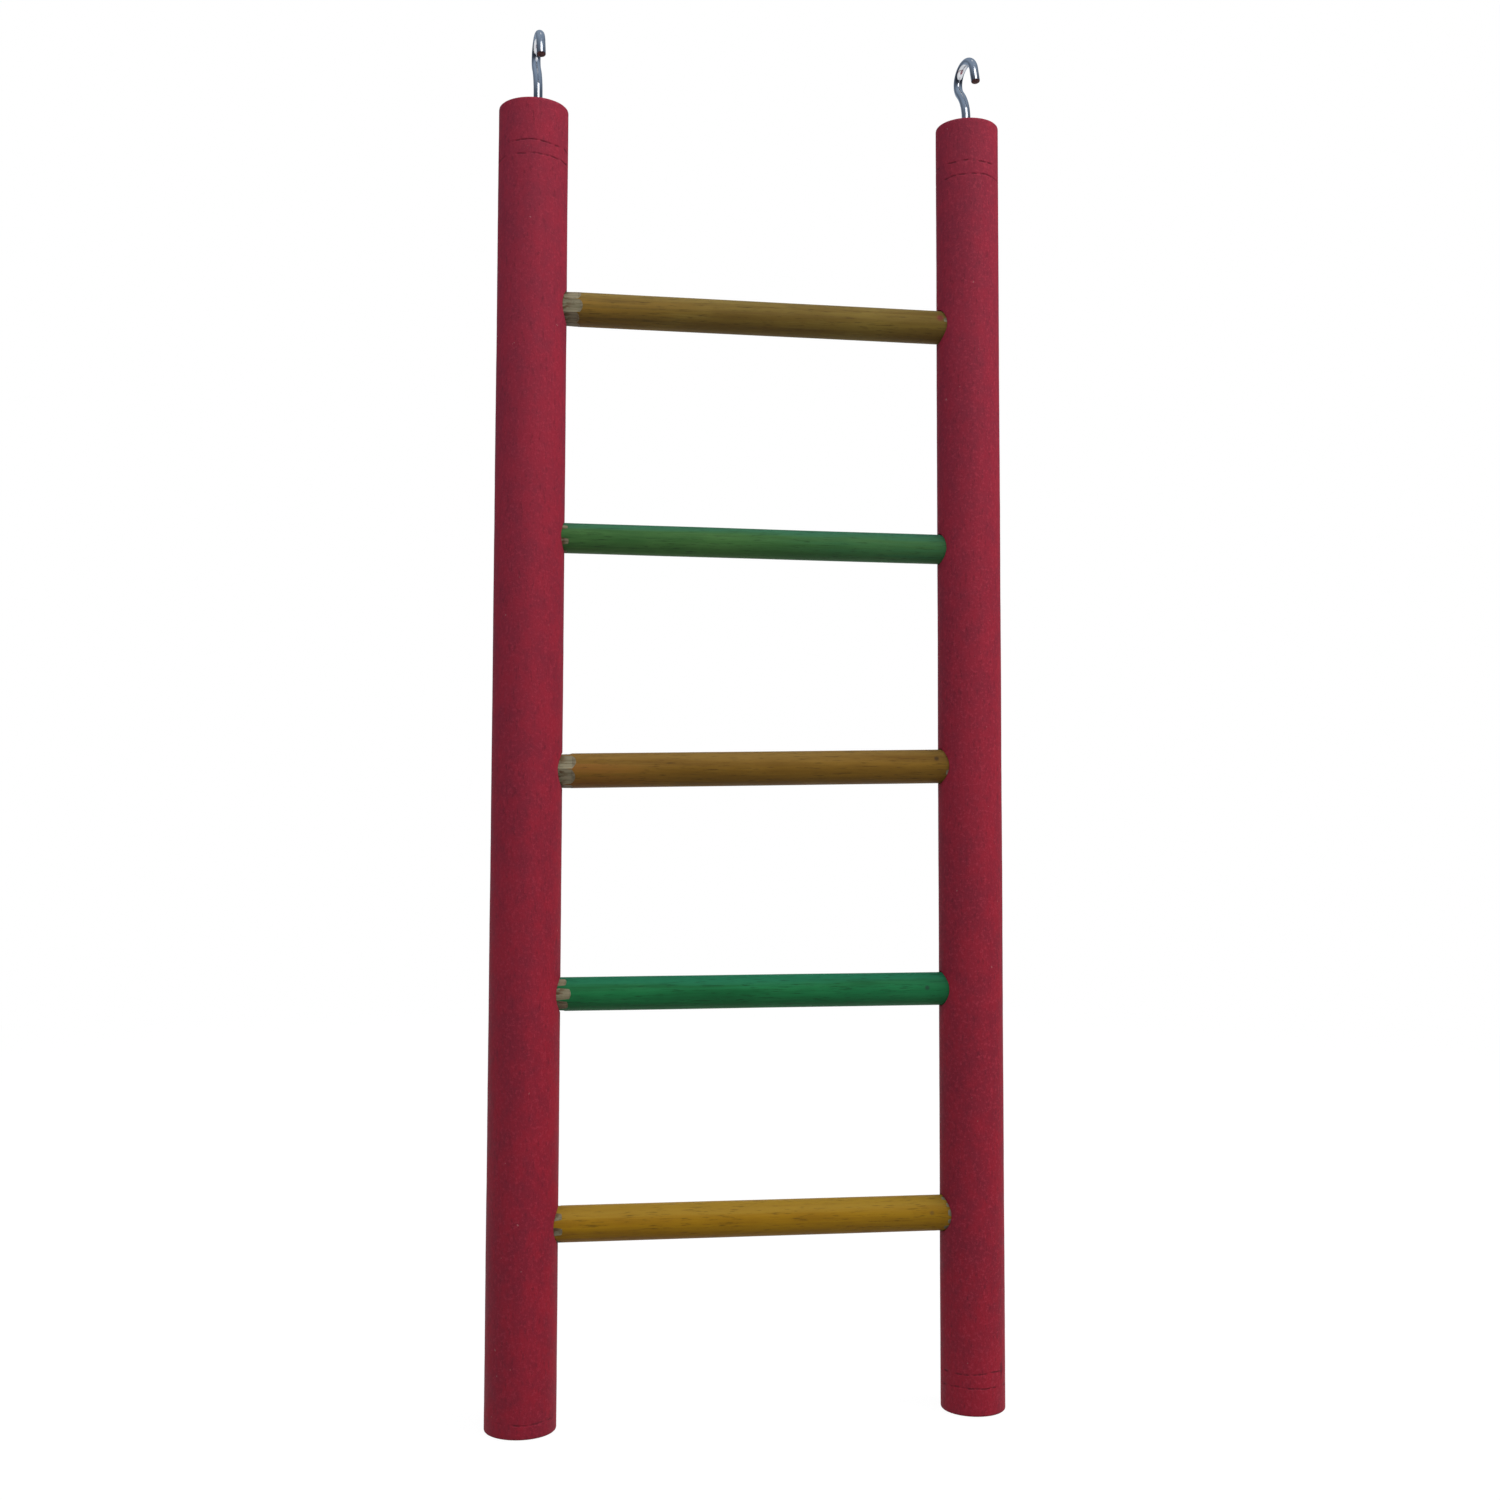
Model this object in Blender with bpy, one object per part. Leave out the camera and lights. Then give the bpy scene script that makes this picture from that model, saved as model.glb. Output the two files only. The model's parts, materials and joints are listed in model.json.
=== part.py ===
"""Cage ladder: two red wooden rails, five dyed dowel rungs and two plated screw hooks.

Metres. +Z is up, +X is to the right of someone facing the ladder, and +Y points away from them.
The origin is midway between the rails, where the bar that the hooks hang on lies under their crowns.
"""

import math

import bmesh
import bpy
from mathutils import Matrix, Vector

# Rails
RAIL_SPACING = 0.1590
RAIL_LENGTH = 0.4590
RIGHT_RAIL_EXTRA_LENGTH = 0.0040
LEFT_RAIL_DIAMETER = 0.0247
RIGHT_RAIL_DIAMETER = 0.0230
RAIL_EDGE_BREAK = 0.0005
LEFT_RINGS_BELOW_TOP = (0.0157, 0.0205)
LEFT_RINGS_ABOVE_FOOT = (0.0050,)
RIGHT_RINGS_BELOW_TOP = (0.0161, 0.0212)
RIGHT_RINGS_ABOVE_FOOT = (0.0096, 0.0143)
RING_WIDTH = 0.0008
RING_DEPTH = 0.0003

# Rungs, each list from the top down: they are marked out evenly, then drilled a little off their marks
TOP_RUNG_BELOW_RAIL_TOP = 0.0710
BOTTOM_RUNG_ABOVE_FEET = 0.0682
RUNG_OFFSETS = (0.0, -0.00205, -0.0026, -0.00115, 0.0)
RUNG_RISES = (0.0, 0.0, 0.0035, 0.0008, 0.0)
RUNG_DIAMETERS = (0.0121, 0.0108, 0.0123, 0.0118, 0.0125)
SOCKET_DEPTH = 0.0115
SOCKET_CLEARANCE = 0.0003

# Knife cuts that taper the left end of each rung into its socket
WHITTLED_LENGTHS = (0.0060, 0.0012, 0.0055, 0.0030, 0.0012)
WHITTLE_SLOPE_DEGREES = 5.0
WHITTLE_FACETS = 9

# Screw hooks, each screwed in by hand a little off its rail's axis and turned a little off square
WIRE_DIAMETER = 0.0032
HOOK_LOOP_RADIUS = 0.0060
HOOK_NECK_RADIUS = 0.0160
HOOK_LIP_LEAN_DEGREES = 14.0
HOOK_LIP_LENGTH = 0.0055
HOOK_STRAIGHT_LENGTH = 0.0210
HOOK_THREAD_LENGTH = 0.0130
HOOK_POINT_LENGTH = 0.0032
HOOK_TIP_DIAMETER = 0.0006
THREAD_PITCH = 0.0013
THREAD_ROOT_DIAMETER = 0.0023
LEFT_HOOK_STAND = 0.0291
RIGHT_HOOK_STAND = 0.0269
LEFT_HOOK_OFF_AXIS = 0.0014
RIGHT_HOOK_OFF_AXIS = -0.0002
LEFT_HOOK_FACING_DEGREES = 6.5
RIGHT_HOOK_FACING_DEGREES = 13.5
PILOT_CLEARANCE = 0.0003
PILOT_SPARE_DEPTH = 0.0010

# Facets
RAIL_SIDES = 40
RUNG_SIDES = 28
WIRE_SIDES = 12
PILOT_SIDES = 20
ARC_STEP_DEGREES = 12.0
RINGS_PER_THREAD_TURN = 6
RUNG_SMOOTH_DEGREES = 16.0
HOOK_SMOOTH_DEGREES = 50.0
MERGE_DISTANCE = 0.00001

# Sizes that follow from the ones above
LEFT_RAIL_LENGTH = RAIL_LENGTH
RIGHT_RAIL_LENGTH = RAIL_LENGTH + RIGHT_RAIL_EXTRA_LENGTH
TOP_RUNG_ABOVE_FEET = RAIL_LENGTH - TOP_RUNG_BELOW_RAIL_TOP
RUNG_PITCH = (TOP_RUNG_ABOVE_FEET - BOTTOM_RUNG_ABOVE_FEET) / (len(RUNG_DIAMETERS) - 1)
LEFT_RAIL_RADIUS = LEFT_RAIL_DIAMETER / 2
RIGHT_RAIL_RADIUS = RIGHT_RAIL_DIAMETER / 2
WIRE_RADIUS = WIRE_DIAMETER / 2
HOOK_LOOP_ABOVE_NECK = math.sqrt(HOOK_LOOP_RADIUS ** 2 + 2 * HOOK_LOOP_RADIUS * HOOK_NECK_RADIUS)
HOOK_HEIGHT_ABOVE_NECK = HOOK_LOOP_ABOVE_NECK + HOOK_LOOP_RADIUS + WIRE_RADIUS
LEFT_SEAT_HEIGHT = LEFT_RAIL_LENGTH + LEFT_HOOK_STAND - WIRE_DIAMETER
RIGHT_SEAT_HEIGHT = RIGHT_RAIL_LENGTH + RIGHT_HOOK_STAND - WIRE_DIAMETER
FEET_Z = -(LEFT_SEAT_HEIGHT + RIGHT_SEAT_HEIGHT) / 2
LEFT_X = -RAIL_SPACING / 2
RIGHT_X = RAIL_SPACING / 2
LEFT_HOOK_X = LEFT_X + LEFT_HOOK_OFF_AXIS
RIGHT_HOOK_X = RIGHT_X + RIGHT_HOOK_OFF_AXIS


def paint(name, color, roughness, metallic=0.0):
    """A plain finish with one colour."""
    material = bpy.data.materials.new(name)
    material.use_nodes = True
    shader = material.node_tree.nodes["Principled BSDF"]
    shader.inputs["Base Color"].default_value = (*color, 1.0)
    shader.inputs["Roughness"].default_value = roughness
    shader.inputs["Metallic"].default_value = metallic
    return material


def add_object(name, mesh, parent=None, material=None):
    """Put a mesh into the scene under a name."""
    item = bpy.data.objects.new(name, mesh)
    item.parent = parent
    if material:
        mesh.materials.append(material)
    bpy.context.scene.collection.objects.link(item)
    return item


def mesh_from(work, name, smooth_below_degrees=None):
    """Turn a bmesh into a mesh, shaded smooth where its faces meet at less than an angle."""
    mesh = bpy.data.meshes.new(name)
    work.to_mesh(mesh)
    work.free()
    if smooth_below_degrees:
        mesh.shade_smooth()
        mesh.set_sharp_from_angle(angle=math.radians(smooth_below_degrees))
    return mesh


def rail_profile(radius, length, rings_below_top, rings_above_foot):
    """Half section of a rail from the top of its axis down its side to the foot of its axis."""
    points = [(0.0, length), (radius - RAIL_EDGE_BREAK, length), (radius, length - RAIL_EDGE_BREAK)]
    ring_heights = [length - drop for drop in rings_below_top] + list(rings_above_foot)
    for height in sorted(ring_heights, reverse=True):
        points.append((radius, height + RING_WIDTH / 2))
        points.append((radius - RING_DEPTH, height))
        points.append((radius, height - RING_WIDTH / 2))
    points += [(radius, RAIL_EDGE_BREAK), (radius - RAIL_EDGE_BREAK, 0.0), (0.0, 0.0)]
    return points


def rung_frame(index):
    """Place and slope of a rung: its middle at the origin, its length along X."""
    slope = math.atan2(RUNG_RISES[index], RAIL_SPACING)
    height = TOP_RUNG_ABOVE_FEET - RUNG_PITCH * index + RUNG_OFFSETS[index]
    middle = Matrix.Translation((0.0, 0.0, FEET_Z + height))
    return middle @ Matrix.Rotation(-slope, 4, "Y")


def rod_along_x(work, start_x, end_x, radius, place):
    """Add a closed round rod from one X to another, in a rung's own frame."""
    along_x = Matrix.Rotation(math.radians(90.0), 4, "Y")
    centre = Matrix.Translation(((start_x + end_x) / 2, 0.0, 0.0))
    bmesh.ops.create_cone(
        work,
        cap_ends=True,
        segments=RUNG_SIDES,
        radius1=radius,
        radius2=radius,
        depth=end_x - start_x,
        matrix=place @ centre @ along_x,
    )


def hook_depth(stand):
    """How far a hook is screwed into its rail when it stands a height above the wood."""
    return HOOK_STRAIGHT_LENGTH + HOOK_HEIGHT_ABOVE_NECK - stand


def rail_cutter(name, rail_x, radius, length, hook_x, hook_stand):
    """Sockets for the rungs and the pilot hole for the hook, as one set of rods to cut away."""
    work = bmesh.new()
    inward = -math.copysign(1.0, rail_x)
    socket_floor = rail_x + inward * (radius - SOCKET_DEPTH)
    socket_mouth = rail_x + inward * radius * 2
    for index, diameter in enumerate(RUNG_DIAMETERS):
        start_x, end_x = sorted((socket_floor, socket_mouth))
        hole_radius = diameter / 2 + SOCKET_CLEARANCE
        rod_along_x(work, start_x, end_x, hole_radius, rung_frame(index))
    pilot_depth = hook_depth(hook_stand) + PILOT_SPARE_DEPTH
    bmesh.ops.create_cone(
        work,
        cap_ends=True,
        segments=PILOT_SIDES,
        radius1=WIRE_RADIUS + PILOT_CLEARANCE,
        radius2=WIRE_RADIUS + PILOT_CLEARANCE,
        depth=pilot_depth * 2,
        matrix=Matrix.Translation((hook_x, 0.0, FEET_Z + length)),
    )
    cutter = add_object(name, mesh_from(work, name))
    cutter.hide_render = True
    cutter.display_type = "WIRE"
    return cutter


def make_rail(name, rail_x, diameter, length, rings, hook_x, hook_stand, parent, finish):
    """A turned rail with scribed rings, bored for its rungs and its hook."""
    points = rail_profile(diameter / 2, length, *rings)
    mesh = bpy.data.meshes.new(name)
    edges = [(i, i + 1) for i in range(len(points) - 1)]
    mesh.from_pydata([(r, 0.0, z) for r, z in points], edges, [])
    rail = add_object(name, mesh, parent, finish)
    rail.location = (rail_x, 0.0, FEET_Z)
    turning = rail.modifiers.new("Turning", "SCREW")
    turning.steps = RAIL_SIDES
    turning.render_steps = RAIL_SIDES
    turning.use_merge_vertices = True
    turning.merge_threshold = MERGE_DISTANCE
    turning.use_smooth_shade = True
    boring = rail.modifiers.new("Boring", "BOOLEAN")
    boring.operation = "DIFFERENCE"
    boring.solver = "EXACT"
    boring.object = rail_cutter(f"{name}_holes", rail_x, diameter / 2, length, hook_x, hook_stand)


def whittle(work, end_x, radius, length):
    """Slice flat facets round the left end of a rung, each running out on the surface after a length."""
    slope = math.radians(WHITTLE_SLOPE_DEGREES)
    for facet in range(WHITTLE_FACETS):
        turn = 2 * math.pi * facet / WHITTLE_FACETS
        outward = Vector((0.0, math.cos(turn), math.sin(turn)))
        normal = outward * math.cos(slope) - Vector((1.0, 0.0, 0.0)) * math.sin(slope)
        run_out = Vector((end_x + length, 0.0, 0.0)) + outward * radius
        cut = bmesh.ops.bisect_plane(
            work,
            geom=work.verts[:] + work.edges[:] + work.faces[:],
            plane_co=run_out,
            plane_no=normal,
            clear_outer=True,
        )["geom_cut"]
        rim = [part for part in cut if isinstance(part, bmesh.types.BMEdge)]
        bmesh.ops.holes_fill(work, edges=rim)


def make_rung(index, parent, finish):
    """A dowel rung that reaches from the floor of its left socket to the floor of its right one."""
    name = f"rung_{index + 1}"
    radius = RUNG_DIAMETERS[index] / 2
    left_face = LEFT_X + LEFT_RAIL_RADIUS
    start_x = left_face - SOCKET_DEPTH + SOCKET_CLEARANCE
    end_x = RIGHT_X - RIGHT_RAIL_RADIUS + SOCKET_DEPTH - SOCKET_CLEARANCE
    work = bmesh.new()
    rod_along_x(work, start_x, end_x, radius, Matrix.Identity(4))
    whittle(work, left_face, radius, WHITTLED_LENGTHS[index])
    rung = add_object(name, mesh_from(work, name, RUNG_SMOOTH_DEGREES), parent, finish)
    rung.matrix_local = rung_frame(index)


def thread_radius(turn, height):
    """Radius of the threaded shank at an angle and a height above the point."""
    phase = height / THREAD_PITCH - turn / (2 * math.pi)
    ridge = (0.5 + 0.5 * math.cos(2 * math.pi * phase)) ** 2
    root = THREAD_ROOT_DIAMETER / 2
    run_out = min(1.0, (HOOK_THREAD_LENGTH - height) / THREAD_PITCH)
    threaded = root + (WIRE_RADIUS - root) * (ridge * run_out + 1.0 - run_out)
    tip = HOOK_TIP_DIAMETER / 2
    taper = tip + (WIRE_RADIUS - tip) * height / HOOK_POINT_LENGTH
    return min(threaded, taper)


def hook_stations():
    """Points and directions along the wire: up from the screw point, round the loop and down its lip.

    The shank is on the Z axis with its point at Z 0, and the loop lies in the YZ plane, open towards -Y.
    A station on the thread also has its height above the point.
    """
    stations = []
    ring_step = THREAD_PITCH / RINGS_PER_THREAD_TURN
    rings = round(HOOK_THREAD_LENGTH / ring_step)
    for ring in range(rings + 1):
        height = HOOK_THREAD_LENGTH * ring / rings
        stations.append((Vector((0.0, 0.0, height)), Vector((0.0, 0.0, 1.0)), height))
    sweep_angle = math.acos(HOOK_NECK_RADIUS / (HOOK_LOOP_RADIUS + HOOK_NECK_RADIUS))
    neck_centre = Vector((0.0, HOOK_NECK_RADIUS, HOOK_STRAIGHT_LENGTH))
    neck_steps = round(math.degrees(sweep_angle) / ARC_STEP_DEGREES)
    for step in range(neck_steps + 1):
        turn = sweep_angle * step / neck_steps
        offset = Vector((0.0, -math.cos(turn), math.sin(turn))) * HOOK_NECK_RADIUS
        direction = Vector((0.0, math.sin(turn), math.cos(turn)))
        stations.append((neck_centre + offset, direction, None))
    loop_centre = Vector((0.0, 0.0, HOOK_STRAIGHT_LENGTH + HOOK_LOOP_ABOVE_NECK))
    loop_start = math.pi + sweep_angle
    loop_angle = loop_start - math.radians(HOOK_LIP_LEAN_DEGREES)
    loop_steps = round(math.degrees(loop_angle) / ARC_STEP_DEGREES)
    for step in range(1, loop_steps + 1):
        turn = loop_start - loop_angle * step / loop_steps
        offset = Vector((0.0, -math.cos(turn), math.sin(turn))) * HOOK_LOOP_RADIUS
        direction = Vector((0.0, -math.sin(turn), -math.cos(turn)))
        stations.append((loop_centre + offset, direction, None))
    lip_start, lip_direction, _ = stations[-1]
    stations.append((lip_start + lip_direction * HOOK_LIP_LENGTH, lip_direction, None))
    return stations


def hook_mesh():
    """One wire swept from the screw point to the cut end of the hook."""
    work = bmesh.new()
    across = Vector((1.0, 0.0, 0.0))
    rings = []
    for centre, direction, height in hook_stations():
        aside = direction.cross(across)
        ring = []
        for side in range(WIRE_SIDES):
            turn = 2 * math.pi * side / WIRE_SIDES
            radius = WIRE_RADIUS if height is None else thread_radius(turn, height)
            offset = across * math.cos(turn) + aside * math.sin(turn)
            ring.append(work.verts.new(centre + offset * radius))
        rings.append(ring)
    for lower, upper in zip(rings, rings[1:]):
        for side in range(WIRE_SIDES):
            following = (side + 1) % WIRE_SIDES
            work.faces.new((lower[side], lower[following], upper[following], upper[side]))
    work.faces.new(reversed(rings[0]))
    work.faces.new(rings[-1])
    return mesh_from(work, "screw_hook", HOOK_SMOOTH_DEGREES)


def make_hook(name, hook_x, length, stand, facing_degrees, parent, finish):
    """A screw hook in the top of a rail, with its origin on its shank at the screw point."""
    hook = add_object(name, hook_mesh(), parent, finish)
    screw_point_z = FEET_Z + length - hook_depth(stand)
    hook.location = (hook_x, 0.0, screw_point_z)
    hook.rotation_euler = (0.0, 0.0, math.radians(facing_degrees))


for leftover in list(bpy.data.objects):
    bpy.data.objects.remove(leftover, do_unlink=True)

ladder = bpy.data.objects.new("ladder", None)
bpy.context.scene.collection.objects.link(ladder)

red_paint = paint("red_paint", (0.38, 0.022, 0.040), 0.75)
yellow_dye = paint("yellow_dye", (0.45, 0.22, 0.020), 0.60)
green_dye = paint("green_dye", (0.020, 0.16, 0.055), 0.60)
bright_plating = paint("bright_plating", (0.62, 0.63, 0.65), 0.18, 1.0)

make_rail(
    "left_rail", LEFT_X, LEFT_RAIL_DIAMETER, LEFT_RAIL_LENGTH,
    (LEFT_RINGS_BELOW_TOP, LEFT_RINGS_ABOVE_FOOT), LEFT_HOOK_X, LEFT_HOOK_STAND, ladder, red_paint,
)
make_rail(
    "right_rail", RIGHT_X, RIGHT_RAIL_DIAMETER, RIGHT_RAIL_LENGTH,
    (RIGHT_RINGS_BELOW_TOP, RIGHT_RINGS_ABOVE_FOOT), RIGHT_HOOK_X, RIGHT_HOOK_STAND, ladder, red_paint,
)
for rung_index in range(len(RUNG_DIAMETERS)):
    make_rung(rung_index, ladder, yellow_dye if rung_index % 2 == 0 else green_dye)
make_hook(
    "left_hook", LEFT_HOOK_X, LEFT_RAIL_LENGTH, LEFT_HOOK_STAND, LEFT_HOOK_FACING_DEGREES,
    ladder, bright_plating,
)
make_hook(
    "right_hook", RIGHT_HOOK_X, RIGHT_RAIL_LENGTH, RIGHT_HOOK_STAND, RIGHT_HOOK_FACING_DEGREES,
    ladder, bright_plating,
)
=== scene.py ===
import json
import math

import bmesh
import bpy
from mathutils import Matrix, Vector, noise


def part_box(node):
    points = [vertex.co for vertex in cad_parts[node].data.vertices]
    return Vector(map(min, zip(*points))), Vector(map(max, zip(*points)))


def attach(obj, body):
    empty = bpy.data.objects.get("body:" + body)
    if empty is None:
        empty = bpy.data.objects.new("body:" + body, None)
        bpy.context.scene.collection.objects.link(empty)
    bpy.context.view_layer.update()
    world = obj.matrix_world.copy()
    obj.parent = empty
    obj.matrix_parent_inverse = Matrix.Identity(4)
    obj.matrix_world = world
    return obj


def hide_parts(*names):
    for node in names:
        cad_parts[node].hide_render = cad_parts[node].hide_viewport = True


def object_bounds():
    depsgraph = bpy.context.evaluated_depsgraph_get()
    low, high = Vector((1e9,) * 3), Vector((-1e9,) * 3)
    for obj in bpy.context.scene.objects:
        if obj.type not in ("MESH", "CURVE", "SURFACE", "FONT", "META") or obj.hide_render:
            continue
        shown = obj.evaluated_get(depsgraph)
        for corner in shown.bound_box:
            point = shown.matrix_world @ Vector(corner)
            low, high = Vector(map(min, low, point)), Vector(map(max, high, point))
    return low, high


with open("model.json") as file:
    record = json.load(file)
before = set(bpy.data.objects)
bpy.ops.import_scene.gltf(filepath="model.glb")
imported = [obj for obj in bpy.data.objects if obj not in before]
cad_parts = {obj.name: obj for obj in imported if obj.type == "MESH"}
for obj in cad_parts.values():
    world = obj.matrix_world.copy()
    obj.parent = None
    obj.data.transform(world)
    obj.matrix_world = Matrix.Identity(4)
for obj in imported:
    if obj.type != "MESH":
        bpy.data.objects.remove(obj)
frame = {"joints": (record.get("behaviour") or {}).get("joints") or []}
cad_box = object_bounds()

# Rails: two round poles of softwood with a thin coat of matte red paint that lets the grain show.
# They are sawn off square, ringed by hand with a scribe near their ends, and bored on their inner
# sides for the rungs and in their tops for the hooks.
RAIL_SIDES = 96
RAIL_CREASE = math.radians(35.0)
EDGE_BREAK = 0.0006
EDGE_BREAK_ROWS = 3
LONGEST_ROW = 0.0016
ALONG_SHARE = 0.9
SLICE_SNAP = 0.000001
# Waves of unevenness are noise units for each metre along a piece, or for its radius when they go round it
ROUNDNESS_ERROR = 0.00014
ROUND_WAVES = 22
ROUND_SEED = 90
TURNING_RIPPLE = 0.00005
RIPPLE_WAVES = 160
RIPPLE_WAVES_ROUND = 2.5
SCRIBE_HALF_WIDTH = 0.00042
SCRIBE_ROWS = (-1.6, -1.0, -0.6, -0.25, 0.25, 0.6, 1.0, 1.6)
SCRIBE_DEPTH = 0.00022
SCRIBE_WANDER = 0.0007
SCRIBE_REACH = 0.0035
SCRIBE_WAVES_ROUND = 1.4
# The scribe trembles, lifts and skips, each in finer waves than the ring's own
TREMOR_WAVES = 4.0
TREMOR_SHARE = 0.3
LIFT_WAVES = 2.3
LIFT_FROM = -0.25
LIFT_TO = 0.15
SKIP_WAVES = 7.0
SKIP_FROM = -0.45
SKIP_TO = 0.05
SOCKET_DEPTH = 0.0115
SOCKET_CLEARANCE = 0.0003
SOCKET_SIDES = 72
DRILL_START = 1.6
RUNG_RISES = {"rung_3": 0.0035, "rung_4": 0.0008}
HOOK_WIRE = 0.0032
PILOT_DEPTH = 0.0190
PILOT_CLEARANCE = 0.0003
PILOT_SIDES = 32
RUNG_NAMES = [f"rung_{number}" for number in range(1, 6)]
# A ring's height above the foot, or below the top when negative, then its seed, tilt and fading
LEFT_RINGS = ((-0.0157, 154.0, -0.6, -0.10), (-0.0205, 21.5, -0.2, -0.10), (0.0050, 55.0, 0.2, 0.05))
RIGHT_RINGS = ((-0.0161, 157.5, 0.1, 0.05), (-0.0212, 95.0, 0.1, -0.20), (0.0143, 98.0, 0.2, -0.10),
               (0.0096, 165.5, -0.2, -0.10))
# Heights between which a painted bluish sheen of sky light turns the paint a little purple towards the top
PAINTED_SHEEN_FROM = -0.45
PAINTED_SHEEN_TO = -0.03
# A dark smudge low on the right rail, drawn out along it, and the share of its reach that is at full strength
SMUDGE_PLACE = (0.0876, -0.0081, -0.4708)
SMUDGE_STRETCH = (1.0, 1.0, 0.28)
SMUDGE_REACH = 0.0012
FULL_SHARE = 0.3
hook_places = {joint["child"]: Vector(joint["pos_m"]) for joint in frame["joints"]}
rail_axes = {rail: (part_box(rail)[0].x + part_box(rail)[1].x) / 2 for rail in ("left_rail", "right_rail")}
rail_spacing = rail_axes["right_rail"] - rail_axes["left_rail"]


def start_piece(name, add_primitive, **sizes):
    """Add a primitive on its own, under a name, with its place in its mesh."""
    bpy.ops.object.select_all(action="DESELECT")
    add_primitive(**sizes)
    piece = bpy.context.object
    piece.name = name
    bpy.ops.object.transform_apply(location=True, rotation=True, scale=True)
    return piece


def take_up(piece):
    """Select one piece alone."""
    bpy.ops.object.select_all(action="DESELECT")
    piece.select_set(True)
    bpy.context.view_layer.objects.active = piece


def edit(piece, kind):
    """Go into edit mode on a piece, to work on its vertices, edges or faces."""
    take_up(piece)
    bpy.ops.object.mode_set(mode="EDIT")
    bpy.ops.mesh.select_mode(type=kind)


def stop_editing():
    """Go back to object mode."""
    bpy.ops.object.mode_set(mode="OBJECT")


def pick(piece, parts, wanted):
    """In edit mode, select only those verts, edges or faces that a test picks, and count them."""
    bpy.ops.mesh.select_all(action="DESELECT")
    work = bmesh.from_edit_mesh(piece.data)
    picked = [part for part in getattr(work, parts) if wanted(part)]
    for part in picked:
        part.select_set(True)
    work.select_flush_mode()
    bmesh.update_edit_mesh(piece.data)
    return len(picked)


def slice_across(point, normal, **ends):
    """Cut right through the piece in edit mode with a plane."""
    bpy.ops.mesh.select_all(action="SELECT")
    bpy.ops.mesh.bisect(plane_co=point, plane_no=normal, threshold=SLICE_SNAP, **ends)


def split_long_edges(piece, axis, longest):
    """In edit mode, halve the edges along an axis until none is longer than a length."""
    def is_long(edge):
        run = edge.verts[1].co - edge.verts[0].co
        return abs(run[axis]) > longest and abs(run[axis]) > ALONG_SHARE * run.length

    while pick(piece, "edges", is_long):
        bpy.ops.mesh.subdivide(number_cuts=1)


def cut_away(piece, cutter):
    """Subtract a cutter from a piece and delete the cutter."""
    take_up(piece)
    cut = piece.modifiers.new("Cut", "BOOLEAN")
    cut.operation = "DIFFERENCE"
    cut.solver = "EXACT"
    cut.object = cutter
    bpy.ops.object.modifier_apply(modifier=cut.name)
    bpy.data.objects.remove(cutter)


def smooth(piece, crease):
    """Shade a piece smooth where its faces meet at less than an angle."""
    take_up(piece)
    bpy.ops.object.shade_smooth_by_angle(angle=crease)


def ease(low, high, value):
    """0 below low, 1 above high, and a smooth rise between."""
    part = min(1.0, max(0.0, (value - low) / (high - low)))
    return part * part * (3 - 2 * part)


def unevenness(spot):
    """Noise at a spot, from 0 to 1."""
    return 0.5 + 0.5 * noise.noise(spot)


def rung_line(rung):
    """Radius of a rung, its slope, and the height of its axis where X is 0, worked out from its right end."""
    low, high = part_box(rung)
    radius = (high.y - low.y) / 2
    slope = math.atan2(RUNG_RISES.get(rung, 0.0), rail_spacing)
    return radius, slope, high.z - radius * math.cos(slope) - high.x * math.tan(slope)


def scribe(spot, turn, ring):
    """How far a hand-drawn ring strays upwards at an angle, and how firmly it is cut at a spot."""
    height, seed, tilt, fading = ring
    round_spot = Vector((math.cos(turn) * SCRIBE_WAVES_ROUND, math.sin(turn) * SCRIBE_WAVES_ROUND, seed))
    wobble = noise.noise(round_spot) + TREMOR_SHARE * noise.noise(round_spot * TREMOR_WAVES)
    stray = SCRIBE_WANDER * (wobble + tilt * math.cos(turn))
    near = max(0.0, 1.0 - abs(spot.z - height) / SCRIBE_REACH)
    firm = ease(fading + LIFT_FROM, fading + LIFT_TO, noise.noise(round_spot * LIFT_WAVES))
    firm *= ease(SKIP_FROM, SKIP_TO, noise.noise(round_spot * SKIP_WAVES))
    across = (spot.z - height) / SCRIBE_HALF_WIDTH
    return stray * near, firm * max(0.0, 1.0 - across * across)


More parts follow.
